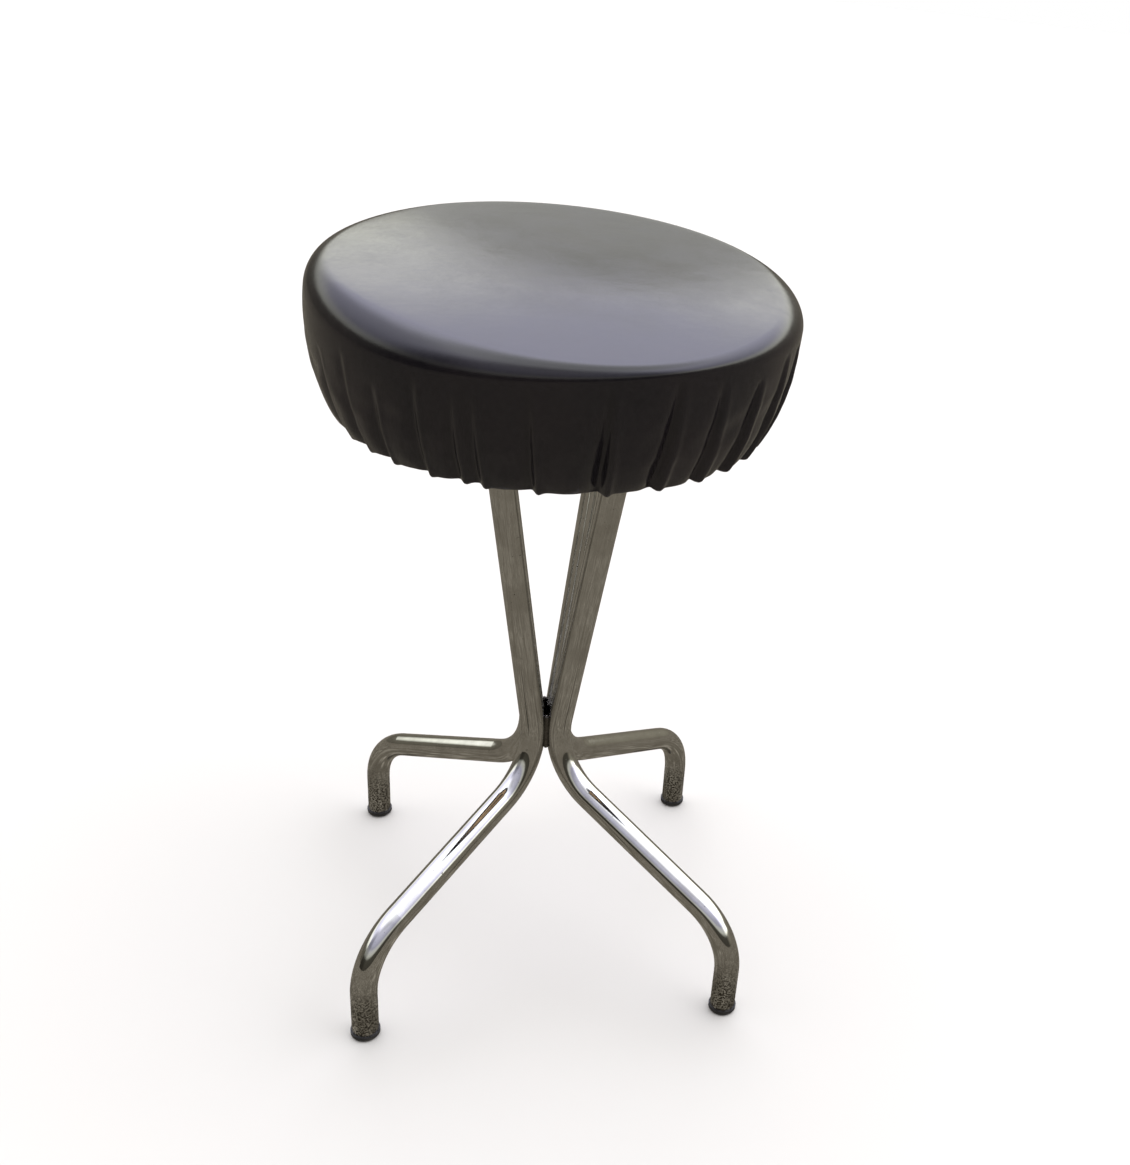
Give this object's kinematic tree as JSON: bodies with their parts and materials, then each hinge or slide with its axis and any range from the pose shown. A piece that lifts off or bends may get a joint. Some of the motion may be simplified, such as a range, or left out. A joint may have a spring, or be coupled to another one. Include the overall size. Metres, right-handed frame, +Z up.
{
  "type": "bar stool",
  "caption": "Round padded bar stool with a gathered vinyl cover on bent chrome tube legs that meet at a welded waist and slope out to low feet.",
  "frame": {"origin": "on the stool's axis at floor level, midway between the four feet", "axes": "+Z up along the stool's axis, -Y towards the front, +X to the right; the legs stand at 45 degrees to X and Y"},
  "size_m": [0.422, 0.4219, 0.7153],
  "materials": {
    "chrome_tube": "bright chrome plate, polished",
    "glide_plastic": "black moulded polyethylene, lightly scuffed",
    "weld_metal": "plated over rippled weld",
    "plate_steel": "plain rolled steel, dull",
    "zinc_steel": "zinc plated",
    "plywood": "raw birch plywood",
    "foam": "open cell cushion foam",
    "vinyl": "dark brown-black upholstery vinyl, semi-gloss with a fine grain",
    "staple_wire": "galvanised wire"
  },
  "bodies": {
    "root": {"leg_rear_right": "chrome_tube", "leg_rear_left": "chrome_tube", "leg_front_left": "chrome_tube", "leg_front_right": "chrome_tube", "foot_glide_rear_right": "glide_plastic", "foot_glide_rear_left": "glide_plastic", "foot_glide_front_left": "glide_plastic", "foot_glide_front_right": "glide_plastic", "waist_welds": "weld_metal", "mounting_plate": "plate_steel", "plate_welds": "weld_metal", "seat_bolts": "zinc_steel", "seat_washers": "zinc_steel", "tee_nuts": "zinc_steel", "seat_board": "plywood", "foam_pad": "foam", "seat_cover": "vinyl", "cover_staples": "staple_wire"}
  },
  "joints": []
}
